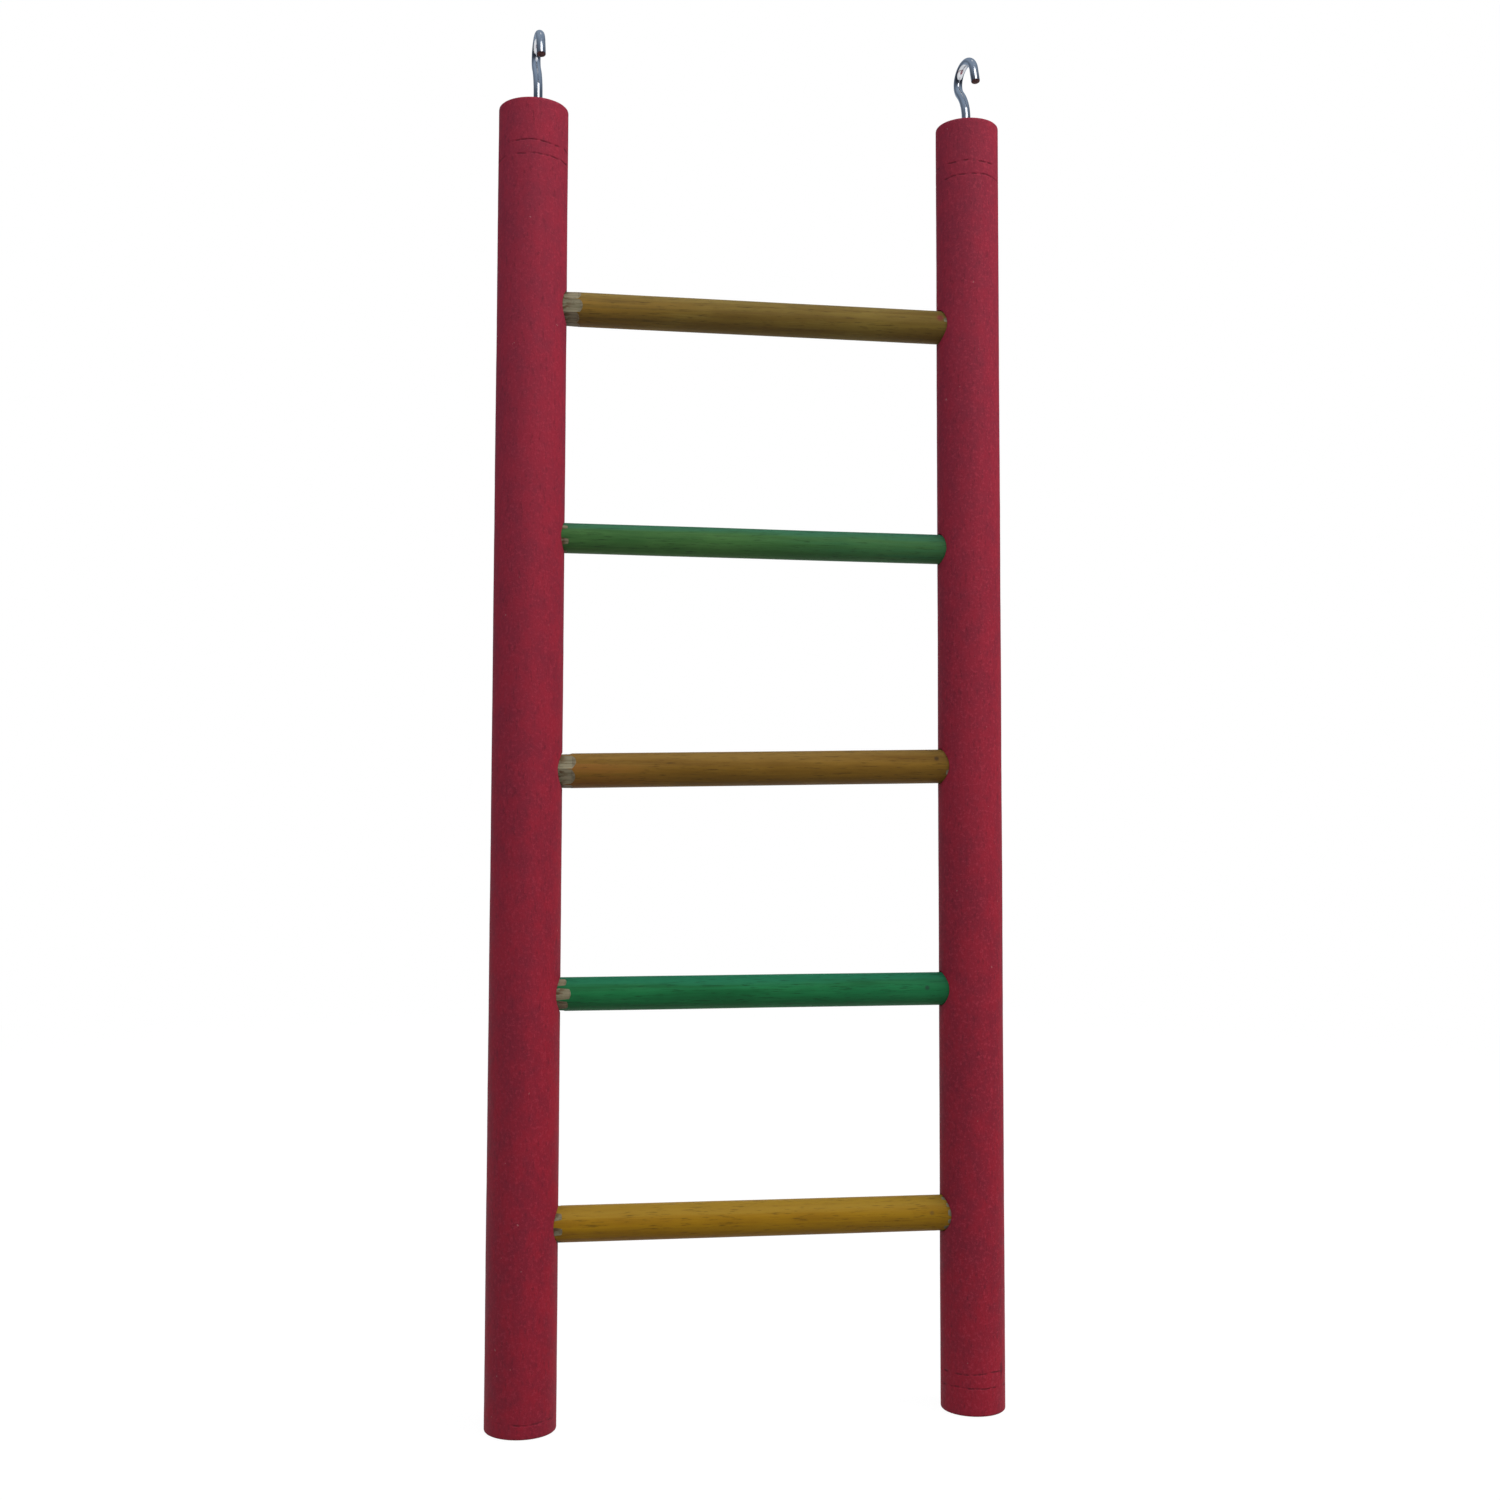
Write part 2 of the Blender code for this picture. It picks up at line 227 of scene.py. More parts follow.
def turn_rail(name, node, rings, hook):
    """Turn a rail to size, scribe its rings, wear it a little out of true and bore its holes."""
    low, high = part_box(node)
    axis_x = rail_axes[node]
    radius = (high.x - low.x) / 2
    rail = start_piece(
        name, bpy.ops.mesh.primitive_cylinder_add, vertices=RAIL_SIDES, radius=radius,
        depth=high.z - low.z, location=(axis_x, 0.0, (low.z + high.z) / 2),
    )
    edit(rail, "EDGE")
    pick(rail, "edges", lambda edge: abs(edge.verts[0].co.z - edge.verts[1].co.z) < EDGE_BREAK)
    bpy.ops.mesh.bevel(offset=EDGE_BREAK, segments=EDGE_BREAK_ROWS, affect="EDGES")
    rings = [((low.z if place > 0 else high.z) + place, *rest) for place, *rest in rings]
    for ring in rings:
        for row in SCRIBE_ROWS:
            slice_across((0.0, 0.0, ring[0] + row * SCRIBE_HALF_WIDTH), (0.0, 0.0, 1.0))
    split_long_edges(rail, 2, LONGEST_ROW)
    stop_editing()
    scribed = rail.data.attributes.new("scribed", "FLOAT", "POINT")
    for point in rail.data.vertices:
        spot = point.co.copy()
        away = Vector((spot.x - axis_x, spot.y, 0.0))
        turn = math.atan2(away.y, away.x)
        roundness = Vector((math.cos(turn), math.sin(turn), spot.z * ROUND_WAVES + axis_x * ROUND_SEED))
        ripple = Vector((
            math.cos(turn) * RIPPLE_WAVES_ROUND, math.sin(turn) * RIPPLE_WAVES_ROUND, spot.z * RIPPLE_WAVES
        ))
        lost = ROUNDNESS_ERROR * unevenness(roundness) + TURNING_RIPPLE * unevenness(ripple)
        for ring in rings:
            stray, firm = scribe(spot, turn, ring)
            point.co.z += stray
            lost += SCRIBE_DEPTH * firm
            scribed.data[point.index].value += firm
        point.co -= away.normalized() * lost
    inward = -math.copysign(1.0, axis_x)
    floor_x = axis_x + inward * (radius - SOCKET_DEPTH)
    outer_x = axis_x + inward * radius * DRILL_START
    for rung in RUNG_NAMES:
        rung_radius, slope, height = rung_line(rung)
        hole_x = (floor_x + outer_x) / 2
        cut_away(rail, start_piece(
            f"{rung}_drill", bpy.ops.mesh.primitive_cylinder_add, vertices=SOCKET_SIDES,
            radius=rung_radius + SOCKET_CLEARANCE, depth=abs(outer_x - floor_x),
            location=(hole_x, 0.0, height + hole_x * math.tan(slope)),
            rotation=(0.0, math.pi / 2 - slope, 0.0),
        ))
    cut_away(rail, start_piece(
        f"{hook}_drill", bpy.ops.mesh.primitive_cylinder_add, vertices=PILOT_SIDES,
        radius=HOOK_WIRE / 2 + PILOT_CLEARANCE, depth=PILOT_DEPTH * 2, location=hook_places[hook],
    ))
    smooth(rail, RAIL_CREASE)
    return rail


class Wire:
    """A socket in a finish's nodes, so that sums on it are written as Python expressions."""

    def __init__(self, tree, socket=None):
        self.tree = tree
        self.socket = socket

    def node(self, kind, settings, values, output=0):
        """Add a node: its settings first, then the values or links of its sockets."""
        made = self.tree.nodes.new(kind)
        for name, value in settings.items():
            setattr(made, name, value)
        for name, value in values.items():
            if isinstance(value, Wire):
                self.tree.links.new(value.socket, made.inputs[name])
            elif isinstance(value, tuple) and len(value) < len(made.inputs[name].default_value):
                made.inputs[name].default_value = (*value, 1.0)
            else:
                made.inputs[name].default_value = value
        return Wire(self.tree, made.outputs[output])

    def sum(self, operation, first, second):
        return self.node("ShaderNodeMath", {"operation": operation}, {0: first, 1: second})

    def __add__(self, other):
        return self.sum("ADD", self, other)

    def __sub__(self, other):
        return self.sum("SUBTRACT", self, other)

    def __mul__(self, other):
        return self.sum("MULTIPLY", self, other)

    def __truediv__(self, other):
        return self.sum("DIVIDE", self, other)

    def __radd__(self, other):
        return self.sum("ADD", other, self)

    def __rsub__(self, other):
        return self.sum("SUBTRACT", other, self)

    def __rmul__(self, other):
        return self.sum("MULTIPLY", other, self)

    def larger(self, other):
        """The larger of two values."""
        return self.sum("MAXIMUM", self, other)

    def part(self, axis):
        """One of a vector's three values."""
        return self.node("ShaderNodeSeparateXYZ", {}, {"Vector": self}, axis)

    def stretched(self, scale, shift=(0.0, 0.0, 0.0)):
        """A vector scaled on each axis and then shifted."""
        return self.node("ShaderNodeMapping", {}, {"Vector": self, "Scale": scale, "Location": shift})

    def grain(self, scale, detail, roughness=0.55, distortion=0.0):
        """Noise over a vector."""
        values = {"Vector": self, "Scale": scale, "Detail": detail}
        values.update({"Roughness": roughness, "Distortion": distortion})
        return self.node("ShaderNodeTexNoise", {}, values)

    def between(self, low, high):
        """0 below low, 1 above high, and a smooth rise between."""
        values = {"Value": self, "From Min": low, "From Max": high}
        return self.node("ShaderNodeMapRange", {"interpolation_type": "SMOOTHSTEP"}, values)

    def tint(self, under, over):
        """One colour where this mask is 0 and another where it is 1."""
        return self.node("ShaderNodeMix", {"data_type": "RGBA"}, {0: self, 6: under, 7: over}, 2)

    def near(self, point, reach):
        """1 near a point and 0 beyond its reach, over a vector."""
        gap = self.node("ShaderNodeVectorMath", {"operation": "DISTANCE"}, {0: self, 1: point}, "Value")
        return 1 - gap.between(reach * FULL_SHARE, reach)

    def relief(self, distance, strength):
        """A surface normal from this height."""
        return self.node("ShaderNodeBump", {}, {"Height": self, "Distance": distance, "Strength": strength})


def new_finish(name, **values):
    """A material, its surface shader set to some values, and the place on the piece that patterns read."""
    material = bpy.data.materials.new(name)
    material.use_nodes = True
    tree = material.node_tree
    shader = tree.nodes["Principled BSDF"]
    for socket, value in values.items():
        shader.inputs[socket.replace("_", " ")].default_value = value
    place = Wire(tree).node("ShaderNodeTexCoord", {}, {}, "Object")
    return material, shader, place


def lay_on(shader, **links):
    """Link wires to a shader's sockets."""
    for name, wire in links.items():
        wire.tree.links.new(wire.socket, shader.inputs[name.replace("_", " ")])


def red_paint(name, seed, nap, smudge=None):
    """Thin matte red paint: mottled where the wood drank it, flecked by the grain, with pale specks."""
    material, shader, place = new_finish(name, Specular_IOR_Level=0.30)
    spot = place.stretched((1.0, 1.0, 1.0), (seed, 0.0, 0.0))
    mottle = spot.stretched((170.0, 170.0, 120.0)).grain(1.0, 4.0, 0.65)
    blotch = spot.stretched((45.0, 45.0, 22.0)).grain(1.0, 2.0)
    fleck = spot.stretched((1000.0, 1000.0, 320.0)).grain(1.0, 3.0, 0.65)
    speck = spot.grain(900.0, 4.0, 0.75)
    pale = spot.stretched((620.0, 620.0, 520.0)).grain(1.0, 1.0)
    worn = (mottle * 0.65 + blotch * 0.35).between(0.36, 0.64)
    colour = worn.tint((0.200, 0.0100, 0.0250), (0.280, 0.0110, 0.0260))
    # Painted sheen: the paint turns a little purple towards the top of each rail, as if it reflected a bluish
    # sky
    painted_sheen = place.part("Z").between(PAINTED_SHEEN_FROM, PAINTED_SHEEN_TO)
    colour = (painted_sheen * 0.35).tint(colour, (0.250, 0.0240, 0.0520))
    colour = (fleck.between(0.54, 0.70) * 0.45).tint(colour, (0.100, 0.0055, 0.0165))
    colour = (speck.between(0.50, 0.66) * nap).tint(colour, (0.42, 0.036, 0.062))
    colour = (pale.between(0.79, 0.82) * 0.35).tint(colour, (0.45, 0.25, 0.24))
    scribed = place.node("ShaderNodeAttribute", {"attribute_name": "scribed"}, {}, "Fac")
    colour = (scribed.between(0.15, 0.9) * 0.55).tint(colour, (0.045, 0.0050, 0.0110))
    if smudge:
        squashed = tuple(part * scale for part, scale in zip(smudge, SMUDGE_STRETCH))
        smear = place.stretched(SMUDGE_STRETCH).near(squashed, SMUDGE_REACH)
        colour = (smear * 0.6).tint(colour, (0.060, 0.0050, 0.0120))
    roughness = 0.66 + 0.22 * mottle - 0.10 * fleck
    height = 0.5 * fleck + 0.6 * speck + 0.3 * mottle
    lay_on(shader, Base_Color=colour, Roughness=roughness, Normal=height.relief(0.00018, 0.75))
    return material


left_rail = turn_rail("painted_left_rail", "left_rail", LEFT_RINGS, "left_hook")
left_rail.data.materials.append(red_paint("red_paint_left", 0.0, 0.34))
right_rail = turn_rail("painted_right_rail", "right_rail", RIGHT_RINGS, "right_hook")
right_rail.data.materials.append(red_paint("red_paint_right", 3.7, 0.46, SMUDGE_PLACE))
for rail, node in ((left_rail, "left_rail"), (right_rail, "right_rail")):
    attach(rail, "ladder")
    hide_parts(node)

# Rungs: five hardwood dowels dyed yellow and green in turn before they were fitted.
# Their ends were then pared down with a knife until they went into the sockets, where they are glued,
# so bare wood shows beside the rails.
RUNG_SIDES = 72
RUNG_CREASE = math.radians(14.0)
RUNG_ROW = 0.0020
RUNG_ERROR = 0.00010
RUNG_WAVES = 25
RUNG_SEED = 60
RUNG_RIDGES = 0.00005
RIDGE_WAVES = 12
RIDGE_WAVES_ROUND = 6
END_CLEARANCE = 0.0003
KNIFE_ENTRY = math.radians(24.0)
KNIFE_SLOPE = math.radians(2.0)
KNIFE_BLOCK = 0.040
# A face counts as one that the knife left when it faces the cut's way and touches its plane
SAME_WAY = 0.9995
TOUCHING = 0.00001
# Where the dark patches by the left rail start and end along a rung, from the left rail's face; they are part
# smeared red paint and part painted shade where the rung goes into the rail
SMEAR_AND_SHADE_FROM = -0.0012
SMEAR_AND_SHADE_TO = 0.0020
DYE_SEED_STEP = 0.31
# Knife cuts at each end: degrees up from the front, run along the rung and depth, both in metres
LEFT_CUTS = {
    "rung_1": ((45, 0.0049, 0.00050), (-3, 0.0055, 0.00048), (-48, 0.0044, 0.00046), (-92, 0.0050, 0.00045),
               (90, 0.0042, 0.00044), (134, 0.0052, 0.00046), (178, 0.0045, 0.00048), (222, 0.0050, 0.00046)),
    "rung_2": ((38, 0.0010, 0.00012), (-22, 0.0013, 0.00014), (-75, 0.0009, 0.00012), (120, 0.0012, 0.00014),
               (200, 0.0010, 0.00012)),
    "rung_3": ((31, 0.0046, 0.00066), (-24, 0.0043, 0.00064), (-78, 0.0038, 0.00040), (84, 0.0034, 0.00040),
               (132, 0.0042, 0.00050), (182, 0.0046, 0.00050), (232, 0.0040, 0.00050)),
    "rung_4": ((50, 0.0020, 0.00026), (5, 0.0034, 0.00030), (-38, 0.0025, 0.00026), (-85, 0.0016, 0.00022),
               (110, 0.0020, 0.00024), (170, 0.0028, 0.00028), (222, 0.0018, 0.00022)),
    "rung_5": ((34, 0.0011, 0.00016), (-14, 0.0013, 0.00018), (-64, 0.0010, 0.00016), (100, 0.0012, 0.00016),
               (190, 0.0010, 0.00016)),
}
RIGHT_CUTS = {
    "rung_1": ((12, -0.0007, 0.00012),),
    "rung_2": (),
    "rung_3": ((-24, -0.0010, 0.00012),),
    "rung_4": (),
    "rung_5": ((64, 0.0006, 0.00012), (36, -0.0006, 0.00010), (10, -0.0009, 0.00014), (-18, -0.0010, 0.00010),
               (-44, 0.0001, 0.00010)),
}
left_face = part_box("left_rail")[1].x
right_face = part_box("right_rail")[0].x


def knife_planes(rung, cut, end):
    """The two planes of a knife cut at the left (-1) or right (1) end of a rung: its flat and its entry."""
    radius, slope, height = rung_line(rung)
    degrees, run, depth = cut
    around = math.radians(degrees)
    outward = Vector((0.0, -math.cos(around), math.sin(around)))
    along = Vector((end, 0.0, 0.0))
    entry_x = right_face - run if end > 0 else left_face + run
    entry = Vector((entry_x, 0.0, height + entry_x * math.tan(slope))) + outward * radius
    flat = outward * math.cos(KNIFE_SLOPE) + along * math.sin(KNIFE_SLOPE)
    steep = outward * math.cos(KNIFE_ENTRY) + along * math.sin(KNIFE_ENTRY)
    return (entry - outward * depth, flat), (entry, steep)


def pare_rung(name, rung):
    """Make a dowel to length, a little uneven, and pare its ends with a knife."""
    radius, slope, height = rung_line(rung)
    start_x = left_face - SOCKET_DEPTH + END_CLEARANCE
    end_x = right_face + SOCKET_DEPTH - END_CLEARANCE
    middle_x = (start_x + end_x) / 2
    dowel = start_piece(
        name, bpy.ops.mesh.primitive_cylinder_add, vertices=RUNG_SIDES, radius=radius,
        depth=end_x - start_x, location=(middle_x, 0.0, height + middle_x * math.tan(slope)),
        rotation=(0.0, math.pi / 2 - slope, 0.0),
    )
    edit(dowel, "EDGE")
    split_long_edges(dowel, 0, RUNG_ROW)
    stop_editing()
    for point in dowel.data.vertices:
        axis_z = height + point.co.x * math.tan(slope)
        away = Vector((0.0, point.co.y, point.co.z - axis_z)).normalized()
        uneven = Vector((point.co.x * RUNG_WAVES, away.y + height * RUNG_SEED, away.z))
        ridges = Vector((
            point.co.x * RIDGE_WAVES, away.y * RIDGE_WAVES_ROUND,
            away.z * RIDGE_WAVES_ROUND + height * RUNG_SEED,
        ))
        lost = RUNG_ERROR * unevenness(uneven) + RUNG_RIDGES * unevenness(ridges)
        point.co -= away * lost
    cuts = [knife_planes(rung, cut, -1) for cut in LEFT_CUTS[rung]]
    cuts += [knife_planes(rung, cut, 1) for cut in RIGHT_CUTS[rung]]
    for planes in cuts:
        shaving = start_piece(
            f"{rung}_shaving", bpy.ops.mesh.primitive_cube_add, size=KNIFE_BLOCK, location=planes[0][0]
        )
        edit(shaving, "FACE")
        for point, normal in planes:
            slice_across(point, normal, use_fill=True, clear_inner=True)
        stop_editing()
        cut_away(dowel, shaving)
    smooth(dowel, RUNG_CREASE)
    for face in dowel.data.polygons:
        for point, normal in (plane for planes in cuts for plane in planes):
            if face.normal.dot(normal) > SAME_WAY and abs((face.center - point).dot(normal)) < TOUCHING:
                face.material_index = 1
                face.use_smooth = False
    return dowel


def wood_dye(name, seed, line, mark, deep, full, faded, painted_top_sheen, lean, lean_from, lean_to):
    """Dye soaked into a dowel: streaked along the grain, patchy, leaning to other tints at one end, with a
    painted bluish sheen along its top as of sky light, and marked in one place where it has a mark."""
    radius, slope, height = line
    material, shader, place = new_finish(name, Specular_IOR_Level=0.20)
    spot = place.stretched((1.0, 1.0, 1.0), (0.0, seed, 0.0))
    streak = spot.stretched((16.0, 420.0, 420.0)).grain(1.0, 5.0, 0.62, 0.4)
    fibre = spot.stretched((60.0, 1900.0, 1900.0)).grain(1.0, 3.0, 0.6)
    patch = spot.stretched((38.0, 60.0, 60.0)).grain(1.0, 3.0)
    pores = spot.stretched((190.0, 2200.0, 2200.0)).grain(1.0, 2.0, 0.6)
    along = place.part("X")
    above = place.part("Z") - along * math.tan(slope) - height
    colour = (streak * 0.65 + patch * 0.35).between(0.34, 0.66).tint(deep, full)
    colour = ((fibre * 0.6 + patch * 0.4).between(0.50, 0.68) * 0.55).tint(colour, faded)
    colour = (along.between(lean_from, lean_to) * 0.7 * streak.between(0.3, 0.7)).tint(colour, lean)
    # Painted sheen: the upper side of the rung is tinted bluish, as if lit by sky light from above
    top_sheen_height = above + (streak - 0.5) * radius
    colour = (top_sheen_height.between(radius * 0.30, radius * 0.75) * 0.7).tint(colour, painted_top_sheen)
    colour = (pores.between(0.56, 0.72) * 0.60).tint(colour, tuple(part * 0.30 for part in deep))
    if mark:
        mark_x, mark_up, mark_reach, mark_colour = mark
        front = -math.sqrt(radius ** 2 - mark_up ** 2)
        mark_z = height + mark_x * math.tan(slope) + mark_up
        colour = (place.near((mark_x, front, mark_z), mark_reach) * 0.75).tint(colour, mark_colour)
    roughness = 0.50 + 0.22 * streak
    raised = 0.6 * fibre + 0.4 * streak - 0.3 * pores.between(0.56, 0.72)
    lay_on(shader, Base_Color=colour, Roughness=roughness, Normal=raised.relief(0.00015, 0.7))
    return material


def bare_wood():
    """Knife-cut wood with no dye: pale greyish beige, finely lined, with dark patches by the left rail that
    are part smeared red paint and part painted shade.
    """
    material, shader, place = new_finish("bare_wood", Specular_IOR_Level=0.3, Roughness=0.75)
    line = place.stretched((40.0, 1500.0, 1500.0)).grain(1.0, 4.0, 0.6)
    tear = place.stretched((500.0, 700.0, 700.0)).grain(1.0, 3.0)
    colour = line.between(0.35, 0.65).tint((0.160, 0.138, 0.080), (0.262, 0.232, 0.148))
    colour = (tear.between(0.55, 0.72) * 0.45).tint(colour, (0.105, 0.080, 0.050))
    # Dark patches by the left rail: part smeared red paint, part painted shade where the rung goes into the
    # rail
    smear_and_shade = place.stretched((260.0, 620.0, 620.0)).grain(1.0, 2.0)
    by_rail = 1 - place.part("X").between(left_face + SMEAR_AND_SHADE_FROM, left_face + SMEAR_AND_SHADE_TO)
    colour = (by_rail * smear_and_shade.between(0.46, 0.56) * 0.85).tint(colour, (0.090, 0.042, 0.014))
    lay_on(shader, Base_Color=colour, Normal=(line + tear).relief(0.00012, 0.8))
    return material


# Colours of each rung: its dye deep in the grain, full and faded, then a painted bluish sheen along its top,
# and what the dye leans to, from one X to another
DYES = {
    "rung_1": ((0.124, 0.071, 0.011), (0.188, 0.124, 0.021), (0.212, 0.152, 0.034), (0.200, 0.138, 0.032),
               (0.245, 0.120, 0.012), 0.000, -0.055),
    "rung_2": ((0.028, 0.096, 0.022), (0.054, 0.150, 0.036), (0.070, 0.165, 0.050), (0.026, 0.120, 0.070),
               (0.024, 0.130, 0.058), -0.020, 0.050),
    "rung_3": ((0.145, 0.070, 0.006), (0.215, 0.112, 0.012), (0.240, 0.135, 0.020), (0.205, 0.120, 0.026),
               (0.220, 0.075, 0.014), -0.020, -0.060),
    "rung_4": ((0.004, 0.090, 0.025), (0.009, 0.150, 0.044), (0.020, 0.180, 0.060), (0.012, 0.138, 0.068),
               (0.008, 0.140, 0.049), 0.000, 0.060),
    "rung_5": ((0.235, 0.112, 0.002), (0.322, 0.165, 0.003), (0.345, 0.186, 0.006), (0.302, 0.182, 0.018),
               (0.300, 0.165, 0.006), 0.010, 0.060),
}
# Marks by the right rail: X, height above the rung's axis, reach and colour of a smear or a dark spot
MARKS = {
    "rung_1": (0.0676, 0.0020, 0.0018, (0.200, 0.020, 0.026)),
    "rung_3": (0.0657, 0.0026, 0.0013, (0.030, 0.016, 0.006)),
    "rung_4": (0.0619, 0.0008, 0.0012, (0.016, 0.036, 0.028)),
    "rung_5": (0.0633, 0.0012, 0.0011, (0.150, 0.080, 0.016)),
}
pared_wood = bare_wood()
for number, rung in enumerate(RUNG_NAMES):
    dowel = pare_rung(f"dyed_{rung}", rung)
    seed = DYE_SEED_STEP * number
    dye = wood_dye(f"dye_of_{rung}", seed, rung_line(rung), MARKS.get(rung), *DYES[rung])
    dowel.data.materials.append(dye)
    dowel.data.materials.append(pared_wood)
    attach(dowel, "ladder")
    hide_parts(rung)

# Hooks: each is one piece of bright plated steel wire, bent to an easy neck, an open loop and a straight lip,
# whose end is left as it was cropped. The other end is rolled to a wood thread and a point, and the hook is
# screwed by hand into the top of its rail, a little off the middle.
WIRE_SIDES = 32
HOOK_CREASE = math.radians(40.0)
LOOP_RADIUS = 0.0060
LOOP_STEPS = 56
NECK_RADIUS = 0.0160
NECK_STEPS = 14
LIP_LEAN = math.radians(14.0)
LIP_LENGTH = 0.0055
THREAD_LENGTH = 0.0130
THREAD_PITCH = 0.0013
THREAD_ROOT = 0.0023
THREAD_ROWS = 100
POINT_LENGTH = 0.0032
POINT_DIAMETER = 0.0006
CROPPED_EDGE = 0.00018
CROPPED_EDGE_ROWS = 2
CROPPED_FACING = 0.7
WELD_GAP = 0.000005
HOOK_FACINGS = {"left_hook": math.radians(6.5), "right_hook": math.radians(13.5)}


def thread_radius(turn, height):
    """Radius of the threaded shank at an angle and a height above its point."""
    ridge = (0.5 + 0.5 * math.cos(2 * math.pi * height / THREAD_PITCH - turn)) ** 2
    fade = min(1.0, (THREAD_LENGTH - height) / THREAD_PITCH)
    threaded = THREAD_ROOT / 2 + (HOOK_WIRE - THREAD_ROOT) / 2 * (ridge * fade + 1.0 - fade)
    taper = POINT_DIAMETER / 2 + (HOOK_WIRE - POINT_DIAMETER) / 2 * height / POINT_LENGTH
    return min(threaded, taper)


def bend_hook(name, node):
    """Draw a wire up from its point, bend its neck, its loop and its lip, crop its end and cut its thread."""
    low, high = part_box(node)
    shank_x = hook_places[node].x
    loop_z = high.z - HOOK_WIRE / 2 - LOOP_RADIUS
    neck_z = loop_z - math.sqrt(LOOP_RADIUS ** 2 + 2 * LOOP_RADIUS * NECK_RADIUS)
    neck_bend = math.acos(NECK_RADIUS / (LOOP_RADIUS + NECK_RADIUS))
    wire = start_piece(
        name, bpy.ops.mesh.primitive_circle_add, vertices=WIRE_SIDES, radius=HOOK_WIRE / 2,
        fill_type="NGON", location=(shank_x, 0.0, low.z),
    )
    edit(wire, "FACE")
    bpy.ops.mesh.select_all(action="SELECT")
    bpy.ops.mesh.extrude_region_move(TRANSFORM_OT_translate={"value": (0.0, 0.0, THREAD_LENGTH)})
    bpy.ops.mesh.select_mode(type="EDGE")
    pick(wire, "edges", lambda edge: edge.calc_length() > HOOK_WIRE)
    bpy.ops.mesh.subdivide(number_cuts=THREAD_ROWS - 1)
    bpy.ops.mesh.select_mode(type="FACE")
    thread_top = low.z + THREAD_LENGTH
    pick(wire, "faces", lambda face: face.calc_center_median().z > thread_top - TOUCHING)
    shank = neck_z - thread_top
    bpy.ops.mesh.extrude_region_move(TRANSFORM_OT_translate={"value": (0.0, 0.0, shank)})
    bpy.ops.mesh.spin(
        steps=NECK_STEPS, angle=neck_bend, center=(shank_x, NECK_RADIUS, neck_z), axis=(1, 0, 0)
    )
    loop_bend = math.pi + neck_bend - LIP_LEAN
    bpy.ops.mesh.spin(steps=LOOP_STEPS, angle=-loop_bend, center=(shank_x, 0.0, loop_z), axis=(1, 0, 0))
    lip_way = Vector((0.0, -math.sin(LIP_LEAN), -math.cos(LIP_LEAN)))
    bpy.ops.mesh.extrude_region_move(TRANSFORM_OT_translate={"value": lip_way * LIP_LENGTH})
    bpy.ops.mesh.select_mode(type="EDGE")
    bpy.ops.mesh.bevel(offset=CROPPED_EDGE, segments=CROPPED_EDGE_ROWS, affect="EDGES")
    bpy.ops.mesh.select_all(action="SELECT")
    bpy.ops.mesh.remove_doubles(threshold=WELD_GAP)
    bpy.ops.mesh.normals_make_consistent(inside=False)
    stop_editing()
    for point in wire.data.vertices:
        height = point.co.z - low.z
        if height < THREAD_LENGTH:
            away = Vector((point.co.x - shank_x, point.co.y, 0.0))
            turn = math.atan2(away.y, away.x)
            point.co += away.normalized() * (thread_radius(turn, height) - away.length)
    for face in wire.data.polygons:
        on_lip = face.center.z > neck_z and face.center.y < -LOOP_RADIUS
        if on_lip and face.normal.dot(lip_way) > CROPPED_FACING:
            face.material_index = 1
    edit(wire, "VERT")
    bpy.ops.mesh.select_all(action="SELECT")
    bpy.ops.transform.rotate(
        value=-HOOK_FACINGS[node], orient_axis="Z", center_override=(shank_x, 0.0, neck_z)
    )
    stop_editing()
    smooth(wire, HOOK_CREASE)
    return wire


def bright_plating():
    """Bright zinc plating on drawn wire: smooth, with faint haze and pits."""
    material, shader, place = new_finish("bright_plating", Metallic=1.0)
    haze = place.grain(260.0, 3.0)
    pits = place.grain(2200.0, 2.0, 0.6)
    colour = haze.between(0.3, 0.7).tint((0.56, 0.58, 0.62), (0.70, 0.72, 0.75))
    roughness = 0.10 + 0.12 * haze.between(0.35, 0.75) + 0.05 * pits
    lay_on(shader, Base_Color=colour, Roughness=roughness, Normal=pits.relief(0.00002, 0.4))
    return material


def cropped_steel():
    """Plain steel where the wire was cropped: dull, dark and a little reddish."""
    material, shader, place = new_finish("cropped_steel", Metallic=1.0, Roughness=0.6)
    tear = place.grain(1400.0, 3.0)
    colour = tear.between(0.35, 0.65).tint((0.055, 0.026, 0.024), (0.150, 0.085, 0.080))
    lay_on(shader, Base_Color=colour, Normal=tear.relief(0.0001, 0.7))
    return material


plating = bright_plating()
cropped = cropped_steel()
for node in ("left_hook", "right_hook"):
    hook = bend_hook(f"plated_{node}", node)
    hook.data.materials.append(plating)
    hook.data.materials.append(cropped)
    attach(hook, node)
    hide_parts(node)

# Studio: a pale paper floor in a white surround, soft lamps on the right, on the left, overhead and
# behind, and one in front that shows as the streak on the bright wire. A tent of grey cloth round the set,
# out of sight of the camera, gives the wire its dark sides. The camera is at the photograph's view.
FLOOR_SIZE = 12.0
FLOOR_GAP = 0.0003
FLOOR_GREY = 0.30
FLOOR_LIT = 0.20
SHADOW_SHARE = 0.25
SHADOW_FADES_FROM = 0.35
SHADOW_FADES_TO = 1.60
SURROUND_LIGHT = 0.10
TENT_HEIGHT = 2.8
TENT_SIDES = 48
TENT_FOOT_RADIUS = 2.6
TENT_TOP_RADIUS = 0.3
TENT_DARK = (0.030, 0.036, 0.050)
TENT_PALE = (0.28, 0.35, 0.45)
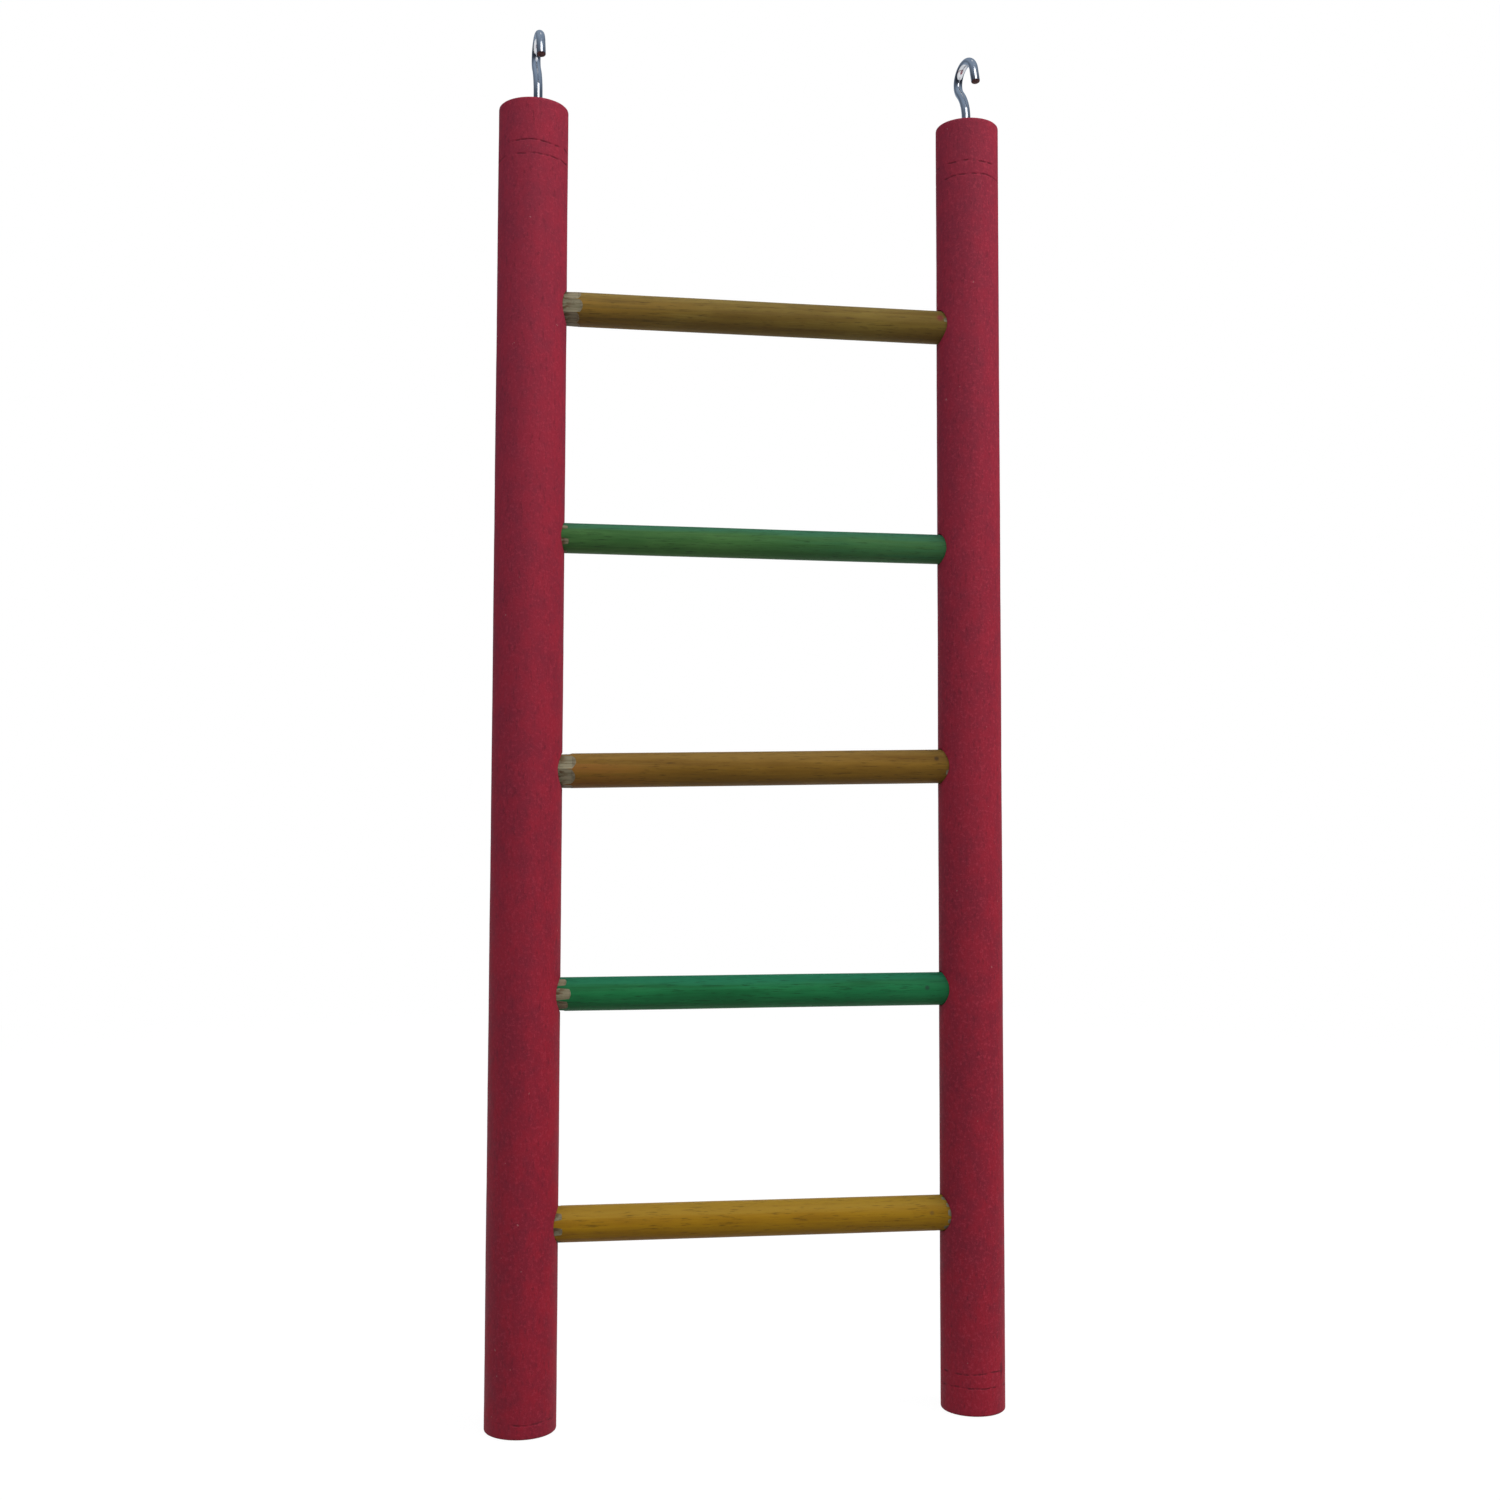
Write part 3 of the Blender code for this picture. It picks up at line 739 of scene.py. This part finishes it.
# The tent turns pale between two heights, and between two distances behind the ladder
TENT_PALE_UP = (0.3, 1.5)
TENT_PALE_BACK = (0.6, 1.8)
LAMP_DISTANCE = 1.7
CAMERA_PLACE = (-0.0925, -0.5957, -0.2894)
CAMERA_YAW = math.radians(8.74)
CAMERA_PITCH = math.radians(3.39)
CAMERA_ROLL = math.radians(-0.16)
CAMERA_LENS = 40.8
CAMERA_SENSOR = 36.0
CAMERA_NEAREST = 0.01
LOOK_AT = Vector((0.0, 0.0, -0.24))


def seen_directly(nodes):
    """1 for what the camera, a mirror or glass sees, and 0 for light that falls on the object."""
    kinds = ("Camera", "Glossy", "Transmission")
    lens, mirror, glass = [nodes.node("ShaderNodeLightPath", {}, {}, f"Is {kind} Ray") for kind in kinds]
    return lens.larger(mirror.larger(glass))


def soft_lamp(name, right_degrees, up_degrees, size, level, colour, mirrored=False):
    """A square soft box that faces the ladder; at level 1 it alone lights a white card to white."""
    right = math.radians(right_degrees)
    up = math.radians(up_degrees)
    away = Vector((math.sin(right) * math.cos(up), -math.cos(right) * math.cos(up), math.sin(up)))
    bpy.ops.object.select_all(action="DESELECT")
    bpy.ops.object.light_add(
        type="AREA", location=LOOK_AT + away * LAMP_DISTANCE, rotation=away.to_track_quat("Z", "Y").to_euler()
    )
    lamp = bpy.context.object
    lamp.name = name
    lamp.data.size = size
    lamp.data.energy = level * math.pi ** 2 * LAMP_DISTANCE ** 2
    lamp.data.color = colour
    lamp.visible_glossy = mirrored


floor = start_piece(
    "floor", bpy.ops.mesh.primitive_plane_add, size=FLOOR_SIZE, location=(0.0, 0.0, cad_box[0].z - FLOOR_GAP)
)
paper = bpy.data.materials.new("floor_paper")
paper.use_nodes = True
nodes = Wire(paper.node_tree)
matte = nodes.node("ShaderNodeBsdfDiffuse", {}, {"Color": (FLOOR_GREY,) * 3})
place = nodes.node("ShaderNodeTexCoord", {}, {}, "Object")
reach = nodes.node("ShaderNodeVectorMath", {"operation": "LENGTH"}, {0: place}, "Value")
shaded = SHADOW_SHARE * (1 - reach.between(SHADOW_FADES_FROM, SHADOW_FADES_TO))
white = nodes.node("ShaderNodeEmission", {}, {"Strength": (1 - shaded * FLOOR_LIT) / (1 - shaded)})
share = seen_directly(nodes) * (1 - shaded)
mixed = nodes.node("ShaderNodeMixShader", {}, {0: share, 1: matte, 2: white})
lay_on(paper.node_tree.nodes["Material Output"], Surface=mixed)
floor.data.materials.append(paper)

world = bpy.data.worlds.new("surround")
bpy.context.scene.world = world
world.use_nodes = True
nodes = Wire(world.node_tree)
seen = seen_directly(nodes)
background = world.node_tree.nodes["Background"]
background.inputs["Color"].default_value = (1.0, 1.0, 1.0, 1.0)
lay_on(background, Strength=seen + SURROUND_LIGHT * (1 - seen))

tent = start_piece(
    "grey_tent", bpy.ops.mesh.primitive_cone_add, vertices=TENT_SIDES, radius1=TENT_FOOT_RADIUS,
    radius2=TENT_TOP_RADIUS, depth=TENT_HEIGHT, end_fill_type="NOTHING",
    location=(0.0, 0.0, cad_box[0].z + TENT_HEIGHT / 2),
)
tent_cloth, tent_shader, tent_place = new_finish(
    "grey_cloth", Base_Color=(0.0, 0.0, 0.0, 1.0), Specular_IOR_Level=0.0, Emission_Strength=1.0
)
tent_up = tent_place.part("Z").between(*TENT_PALE_UP)
tent_back = tent_place.part("Y").between(*TENT_PALE_BACK)
lay_on(tent_shader, Emission_Color=tent_up.larger(tent_back).tint(TENT_DARK, TENT_PALE))
tent.data.materials.append(tent_cloth)
tent.visible_camera = False
tent.visible_diffuse = False
tent.visible_transmission = False
tent.visible_shadow = False

# Degrees to the right of the front and degrees up, then size, level and colour
soft_lamp("right_lamp", 66.0, 34.0, 1.3, 0.96, (1.0, 0.98, 0.96))
soft_lamp("left_lamp", -52.0, 32.0, 1.0, 0.40, (0.82, 0.90, 1.0))
soft_lamp("front_lamp", 8.0, 38.0, 0.9, 0.24, (1.0, 1.0, 1.0), mirrored=True)
soft_lamp("top_lamp", 10.0, 80.0, 1.4, 0.25, (0.90, 0.96, 1.0))
soft_lamp("back_lamp", 176.0, 12.0, 0.9, 0.55, (1.0, 1.0, 1.0))

bpy.ops.object.select_all(action="DESELECT")
bpy.ops.object.camera_add(
    location=CAMERA_PLACE, rotation=(math.pi / 2 + CAMERA_PITCH, CAMERA_ROLL, -CAMERA_YAW)
)
camera = bpy.context.object
camera.data.lens = CAMERA_LENS
camera.data.sensor_width = CAMERA_SENSOR
camera.data.clip_start = CAMERA_NEAREST
bpy.context.scene.camera = camera
bpy.context.scene.view_settings.view_transform = "Standard"
